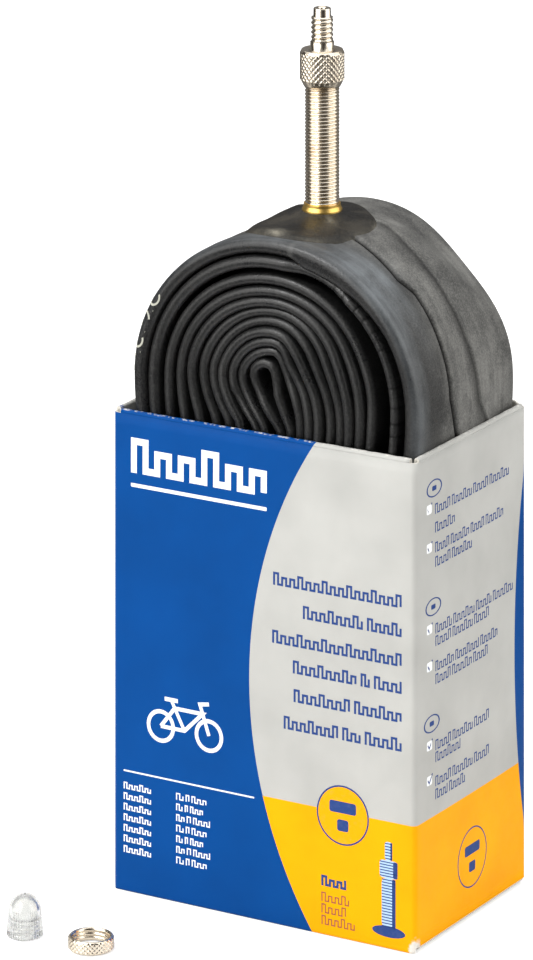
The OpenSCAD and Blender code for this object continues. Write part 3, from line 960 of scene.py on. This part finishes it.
def tube_marks(pale):
    """A few worn pale strokes stamped across the tube's left shoulder."""
    marks = Ink(bead_face, 0.05)
    for turn, first, last in ((-59, 100, 330), (-68.5, -70, 170), (-77, 80, 300), (-86, 0, 170)):
        marks.arc(turn * MM_PER_DEGREE, 1.15, 1.35, 0.4, first, last, squash=1.3)
    for turn in (-63.5, -73, -81.5):
        along = turn * MM_PER_DEGREE
        marks.stroke(((along, -0.2), (along + 0.4, 2.3)), 0.36)
    marks.finish("tube_marks", pale, "rolled_tube", "butyl_rubber")


# ---------------------------------------------------------------- valve patch

VALVE_X = 0.35
OUTER_H = 1.68
# The patch's rim is an oval set forward of the valve, with these half axes
RIM_A, RIM_B, RIM_FORWARD = 13.6, 16.3, -4.6


def roll_surface(x, y):
    """Height of the roll's outer surface near its top, above the place (x, y)."""
    rx, rz = right_x(0) - MID_X + OUTER_H, top_z(0) - MID_Z + OUTER_H
    u = (x - MID_X) / rx
    z = MID_Z + rz * math.sqrt(max(0.0, 1 - u * u))
    edge = abs(y) - (TUBE_HALF - OUTER_H)
    if edge > 0:
        z -= OUTER_H - math.sqrt(max(0.0, OUTER_H * OUTER_H - edge * edge))
    turn = math.degrees(math.asin(clamped(u, -1, 1)))
    return z + skin(turn, y, 1.0) - sunk_back(turn, y)


def patch_reach(turn):
    """Distance from the valve's axis to the patch's wavy rim."""
    c, d = math.cos(turn), math.sin(turn)
    q = (c / RIM_A) ** 2 + (d / RIM_B) ** 2
    forward = d * RIM_FORWARD / RIM_B ** 2
    root = math.sqrt(forward ** 2 - q * ((RIM_FORWARD / RIM_B) ** 2 - 1))
    return (forward + root) / q * (1 + 0.02 * math.sin(5 * turn + 1))


def patch_point(turn, part, bore, ring_low):
    """Upper and lower point of the patch, and its talc, at a share of the way from the bore to the rim."""
    r = bore + (patch_reach(turn) - bore) * part
    x, y = VALVE_X + r * math.cos(turn), r * math.sin(turn)
    base = roll_surface(x, y)
    tent = math.exp(-max(0.0, r - 4.4) / 1.7)
    folds = 0.14 * math.sin(7 * turn + 0.6) * bell(r - 7.5, 2.6)
    lift = 0.75 * min(1.0, (1 - part) * 9)
    crease = 0.35 * bell(turn - 5.45, 0.07) * clamped((r - 8) / 3)
    z = (base + lift + folds * (1 - part) + crease) * (1 - tent) + (ring_low + 0.25) * tent
    spot = bell(x + 0.1, 2.0) * bell(y + 18.4, 1.5)
    ridge = 0.3 * bell(turn - 5.5, 0.13) * bell(r - 6.5, 2.2)
    rim = (0.3 + 0.2 * math.sin(9 * turn)) * bell(part - 0.97, 0.05) * (0.5 + 0.5 * math.cos(turn))
    return (x, y, z), (x, y, min(z - 0.12, base - 0.3)), spot + ridge + max(0.0, rim)


def valve_patch(material):
    """Round rubber patch over the valve's foot: draped on the roll and drawn up in a tent to the ring."""
    ring_low = box_mm("stem_base_ring")[0][2]
    spokes = 120
    radii = [3.95, 4.3, 4.7, 5.1, 5.6, 6.2, 6.9, 7.7, 8.6, 9.6, 10.7, 11.8, 13.0, 14.2, 15.4]
    parts = [(radius - radii[0]) / (radii[-1] - radii[0]) for radius in radii]
    rows = [patch_point(TAU * s / spokes, part, radii[0], ring_low) for part in parts for s in range(spokes)]
    top, low, talc = zip(*rows)
    outer, inner, rim = sheet_faces(len(radii), spokes, True)
    piece = make_piece("valve_patch_rubber", top + low, outer + inner + rim, (material,), "rolled_tube",
                       ("valve_patch",))
    point_attribute(piece, "talc", talc * 2)


# ---------------------------------------------------------------- valve

STEM_PITCH = 0.794
TIP_PITCH = 1.058
# Heights inside the valve, in mm
BORE_FLOOR_Z = 149.0
CORE_LOW_Z = 164.0
CHAMBER_TOP_Z = 169.0
SHOULDER_Z = 181.4
SHOULDER_TOP_Z = 182.6


def revolve(profile, segments, relief):
    """Points and faces of a closed profile [(radius, z), ...] turned about the Z axis.

    relief(angle, radius, z) gives the changed radius.
    """
    points = []
    for radius, z in profile:
        for s in range(segments):
            angle = TAU * s / segments
            r = relief(angle, radius, z)
            points.append((r * math.cos(angle), r * math.sin(angle), z))
    return np.array(points), grid_faces(len(profile), segments, wrap_rows=True, wrap_columns=True)


def thread_relief(pitch, depth, low, high):
    """Relief of a right-hand screw thread between two heights, fading out over half a turn at each end."""
    def relief(angle, radius, z):
        if not low <= z <= high:
            return radius
        valley = abs(2 * ((z / pitch - angle / TAU) % 1.0) - 1) ** 1.7
        fade = min(1.0, (z - low) / (0.5 * pitch), (high - z) / (0.5 * pitch))
        return radius - depth * valley * fade - 0.15 * depth * (1 - fade)
    return relief


def knurl(low, high, rise, around, depth):
    """Diamond knurling: two crossing sets of grooves, one row every rise."""
    def relief(angle, radius, z):
        if not low <= z <= high or radius < 4.0:
            return radius
        along, about = (z - low) / rise, around * angle / TAU
        first = abs((along + about) % 1.0 - 0.5) * 2
        second = abs((along - about) % 1.0 - 0.5) * 2
        return radius - depth * max(1 - first * 3.2, 1 - second * 3.2, 0.0)
    return relief


def turned_piece(name, node, profile, segments, relief, body, material):
    """A turned part on the axis of the CAD node it stands for."""
    low, high = box_mm(node)
    points, faces = revolve(profile, segments, relief)
    points[:, 0] += (low[0] + high[0]) / 2
    points[:, 1] += (low[1] + high[1]) / 2
    make_piece(name, points, faces, (material,), body, (node,))


def threaded_stem(nickel):
    low, high = box_mm("valve_stem")
    foot, top = low[2], high[2]
    thread_low, thread_high = box_mm("stem_base_ring")[1][2], top - 4.06
    profile = [(1.3, foot), (5.2, foot), (5.2, foot + 0.75), (3.6, foot + 0.75), (3.6, thread_low)]
    profile += [(3.85, z) for z in steps(thread_low + 0.02, thread_high, STEM_PITCH / 12)]
    profile += [(3.68, z) for z in steps(thread_high + 0.02, top - 0.3, STEM_PITCH / 12)]
    profile += [(3.3, top), (2.7, top), (2.7, BORE_FLOOR_Z + 0.2), (1.3, BORE_FLOOR_Z)]
    turned_piece("valve_stem_threaded", "valve_stem", profile, 72,
                 thread_relief(STEM_PITCH, 0.42, thread_low, top - 0.2), "rolled_tube", nickel)


def threaded_core(nickel):
    top = box_mm("core_body")[1][2]
    thread_low, thread_high = top - 7.2, top - 2.0
    profile = [(1.4, CORE_LOW_Z), (2.3, CORE_LOW_Z), (2.3, SHOULDER_Z), (3.35, SHOULDER_Z),
               (3.35, SHOULDER_TOP_Z), (2.65, SHOULDER_TOP_Z), (2.65, thread_low - 0.25), (2.4, thread_low)]
    profile += [(2.475, z) for z in steps(thread_low + 0.02, thread_high, TIP_PITCH / 10)]
    profile += [(2.05, thread_high + 0.05), (1.96, thread_high + 0.3), (1.93, top - 0.14), (1.87, top - 0.03),
                (1.78, top), (1.1, top), (0.8, top - 0.3), (0.8, CHAMBER_TOP_Z + 0.5), (1.4, CHAMBER_TOP_Z)]
    turned_piece("core_body_threaded", "core_body", profile, 64,
                 thread_relief(TIP_PITCH, 0.42, thread_low, thread_high), "valve_core", nickel)


def knurled_union_nut(nickel):
    low, high = box_mm("union_nut")
    base, top = low[2], high[2]
    radius, bore, seat = (high[0] - low[0]) / 2, 3.71, SHOULDER_TOP_Z + 0.05
    profile = [(bore, base), (radius - 0.9, base), (radius - 0.5, base + 0.75), (radius - 0.12, base + 1.5)]
    profile += [(radius, z) for z in steps(base + 1.6, top - 0.75, 0.11)]
    profile += [(radius - 0.08, top - 0.62), (radius - 0.35, top - 0.05), (radius - 0.5, top), (2.9, top),
                (2.73, top - 0.15), (2.73, seat), (bore, seat)]
    turned_piece("union_nut_knurled", "union_nut", profile, 240,
                 knurl(base + 1.6, top - 0.75, 1.32, 24, 0.26), "union_nut", nickel)


def knurled_rim_nut(nickel):
    low, high = box_mm("rim_nut")
    radius, height, bore = (high[0] - low[0]) / 2, high[2], 3.9
    profile = [(bore, 0.4), (bore + 0.35, 0.05), (bore + 0.42, 0.0), (radius - 0.45, 0.0),
               (radius - 0.38, 0.04)]
    profile += [(radius, z) for z in steps(0.4, height - 0.4, 0.1)]
    profile += [(radius - 0.38, height - 0.04), (radius - 0.45, height), (bore + 0.42, height),
                (bore + 0.35, height - 0.05)]
    profile += [(bore, z) for z in steps(height - 0.4, 0.45, 0.1)]
    outer = knurl(0.4, height - 0.4, 1.0, 26, 0.2)
    inner = thread_relief(STEM_PITCH, -0.3, 0.4, height - 0.4)

    def relief(angle, r, z):
        return inner(angle, r, z) if r < bore + 0.1 else outer(angle, r, z)
    turned_piece("rim_nut_knurled", "rim_nut", profile, 208, relief, "rim_nut", nickel)


def ribbed_cap(plastic):
    """Dust cap: a ribbed skirt that tapers a little, a domed top and a threaded bore."""
    low, high = box_mm("dust_cap")
    radius, height = (high[0] - low[0]) / 2, high[2]
    skirt, wall, taper = 5.0, 0.9, 0.3
    bore, hollow, dome = 2.525, 2.825, height - skirt
    profile = [(bore + 0.15, 0.0), (radius - 0.25, 0.0)]
    profile += [(radius - taper * (z / skirt) ** 2, z) for z in steps(0.15, skirt - 0.1, 0.35)]
    profile += [((radius - taper) * cosine(a), skirt + dome * sine(a)) for a in range(0, 89, 6)]
    profile += [(0.02, height), (0.02, height - wall)]
    profile += [(hollow * cosine(a), skirt + (dome - wall) * sine(a)) for a in range(84, -1, -7)]
    profile += [(hollow, skirt - 1.0)] + [(bore, z) for z in steps(skirt - 1.3, 0.2, 0.12)]
    inner = thread_relief(TIP_PITCH, -0.25, 0.2, skirt - 1.3)

    def relief(angle, r, z):
        if r > radius - taper - 0.05 and z < skirt:
            depth = 0.15 * min(1.0, (skirt - z) / 1.5)
            return r - depth * (0.5 - 0.5 * math.cos(36 * angle)) ** 0.7
        return inner(angle, r, z) if abs(r - bore) < 0.01 else r
    turned_piece("dust_cap_ribbed", "dust_cap", profile, 216, relief, "dust_cap", plastic)


# ---------------------------------------------------------------- stage

CAMERA_TURN = 30.64
CAMERA_AT = (0.6910, -1.1901, 0.5058)
CAMERA_SHIFT = -1.96311


def from_camera(turn, distance, height):
    """A place in metres, at an angle to the right of the camera's direction, seen from above the object."""
    a = math.radians(CAMERA_TURN + turn)
    return distance * math.sin(a), -distance * math.cos(a), height


def staged(name, data):
    """A new object that belongs to the stage."""
    thing = bpy.data.objects.new(name, data)
    bpy.context.scene.collection.objects.link(thing)
    return thing


def stage_sheet(name, points, columns, material):
    """Flat sheet in metres, from two rows of points."""
    mesh = bpy.data.meshes.new(name)
    mesh.from_pydata(points, [], grid_faces(2, columns))
    mesh.materials.append(material)
    return staged(name, mesh)


def floor():
    """Pale paper. It glows a little to the camera alone, and looks dimmer near the object in shiny metal."""
    look = Look("floor_paper", Roughness=0.85, Emission_Color=(1, 1, 1, 1))
    path = look.add("LightPath")
    pale = look.blend(look.noise(6.0), (0.86, 0.86, 0.855), (0.9, 0.9, 0.895))
    away = look.add("VectorMath", {"operation": "LENGTH"}, i0=look.place).outputs["Value"]
    dim = look.times(look.reflected(path), look.ramp(away, 0.09, 0.2, 0.1, 0.92))
    look.set("Base Color", look.blend(dim, pale, (0.06, 0.06, 0.06)))
    look.set("Emission Strength", look.times(look.looked_at(path), look.ramp(away, 0.4, 1.6, 0.45, 1.0)))
    look.bump(look.noise(700.0, 2.0), 0.05, 0.0001)
    reach, sunk = 8.0, -0.0002
    points = [(x, y, sunk) for y in (-reach, reach) for x in (-reach, reach)]
    stage_sheet("floor_sheet", points, 2, look.material)


def dark_card(name, first, last, distance):
    """Upright black card that only shiny surfaces see, between two angles from the camera's direction."""
    look = Look(name, Roughness=0.9)
    look.set("Base Color", look.blend(look.noise(3.0), (0.012, 0.009, 0.006), (0.02, 0.015, 0.01)))
    turns = steps(first, last, 5.0)
    points = [from_camera(turn, distance, z) for z in (-0.1, 1.3) for turn in turns]
    card = stage_sheet(name, points, len(turns), look.material)
    for kind in ("camera", "diffuse", "shadow", "transmission"):
        setattr(card, "visible_" + kind, False)


def area_light(name, place, size, power, aim=0.1, colour=(1, 1, 1)):
    """Rectangular lamp turned to a point of the object's axis, at the height aim."""
    light = bpy.data.lights.new(name, "AREA")
    light.shape = "RECTANGLE"
    light.size, light.size_y = size
    light.energy = power
    light.color = colour
    lamp = staged(name, light)
    lamp.location = place
    direction = Vector((0, 0, aim)) - Vector(place)
    lamp.rotation_euler = direction.to_track_quat("-Z", "Y").to_euler()


def world():
    """White all round to the camera, and a dimmer white to the object."""
    studio = bpy.data.worlds.new("studio")
    studio.use_nodes = True
    nodes = Nodes(studio.node_tree)
    background = studio.node_tree.nodes["Background"]
    path = nodes.add("LightPath")
    around = nodes.ramp(nodes.reflected(path), 0.0, 1.0, 0.3, 0.2)
    nodes.feed(background.inputs["Color"], (1, 1, 1, 1))
    nodes.feed(background.inputs["Strength"], nodes.calc("MAXIMUM", around, nodes.looked_at(path)))
    bpy.context.scene.world = studio
    bpy.context.scene.view_settings.view_transform = "Standard"


def lights():
    warm = (1.0, 0.985, 0.96)
    area_light("left", from_camera(-58, 0.9, 0.45), (1.15, 1.3), 11.0, colour=warm)
    area_light("right", from_camera(80, 0.9, 0.4), (1.1, 1.0), 6.0, colour=warm)
    area_light("top", (-0.05, 0.1, 0.95), (1.5, 1.2), 8.5)
    area_light("high_left", from_camera(-50, 0.55, 0.75), (0.22, 0.22), 2.2, aim=0.12)
    dark_card("front_card", -3, 30, 0.85)
    dark_card("far_left_card", -128, -104, 0.9)


def shift_at_home(data, view):
    """Shifts the camera's frame down, but only while the camera stands at its first place."""
    curve = data.driver_add("shift_y")
    for modifier in list(curve.modifiers):
        curve.modifiers.remove(modifier)
    corners = ((-0.001, 0.0), (-0.0005, CAMERA_SHIFT), (0.0005, CAMERA_SHIFT), (0.001, 0.0))
    curve.keyframe_points.add(len(corners))
    for point, (off, shift) in zip(curve.keyframe_points, corners):
        point.co = (CAMERA_AT[0] + off, shift)
        point.interpolation = "LINEAR"
    curve.driver.type = "AVERAGE"
    across = curve.driver.variables.new()
    across.type = "TRANSFORMS"
    across.targets[0].id = view
    across.targets[0].transform_type = "LOC_X"
    across.targets[0].transform_space = "WORLD_SPACE"


def camera():
    """Level camera, far off, with its frame shifted down onto the object, which keeps uprights upright."""
    data = bpy.data.cameras.new("main_camera")
    data.lens = 233.54
    data.sensor_width = 36.0
    data.clip_start = 0.05
    view = bpy.data.objects.new("main_camera", data)
    view.location = CAMERA_AT
    view.rotation_euler = (math.radians(90), 0, math.radians(CAMERA_TURN))
    bpy.context.scene.collection.objects.link(view)
    shift_at_home(data, view)
    bpy.context.scene.camera = view


# ---------------------------------------------------------------- all together

def dress_cad_nodes(material, *nodes):
    """Gives a material to CAD nodes that stay in view."""
    for node in nodes:
        mesh = frame["nodes"][node].data
        mesh.materials.clear()
        mesh.materials.append(material)


def carton(raw):
    printed = printed_material()
    carton_sleeve(printed, raw)
    carton_flaps(printed, raw)
    white_ink = ink_material("white_ink", (0.88, 0.9, 0.92))
    blue_ink = ink_material("blue_ink", (0.025, 0.06, 0.22))
    front_print(white_ink, blue_ink)
    side_print(white_ink, blue_ink)
    dress_cad_nodes(raw, "glue_flap", "bottom_panel", "bottom_dust_left", "bottom_dust_right")


def tube():
    rolled_tube(rubber_material())
    tube_marks(ink_material("stamp_ink", (0.42, 0.42, 0.36)))
    valve_patch(patch_material("patch_rubber"))


def valve():
    nickel = metal_material("nickel_plate", (0.84, 0.75, 0.62), (0.66, 0.52, 0.36), 0.13)
    brass = metal_material("bare_brass", (0.9, 0.6, 0.17), (0.72, 0.42, 0.09), 0.27)
    steel = metal_material("steel_ball", (0.7, 0.7, 0.7), (0.6, 0.58, 0.55), 0.12)
    threaded_stem(nickel)
    threaded_core(nickel)
    knurled_union_nut(nickel)
    knurled_rim_nut(nickel)
    ribbed_cap(clear_material())
    dress_cad_nodes(brass, "stem_base_ring", "ball_retainer")
    dress_cad_nodes(steel, "check_ball")
    dress_cad_nodes(patch_material("seal_rubber"), "core_seal")


carton(raw_board_material())
tube()
valve()
floor()
world()
lights()
camera()
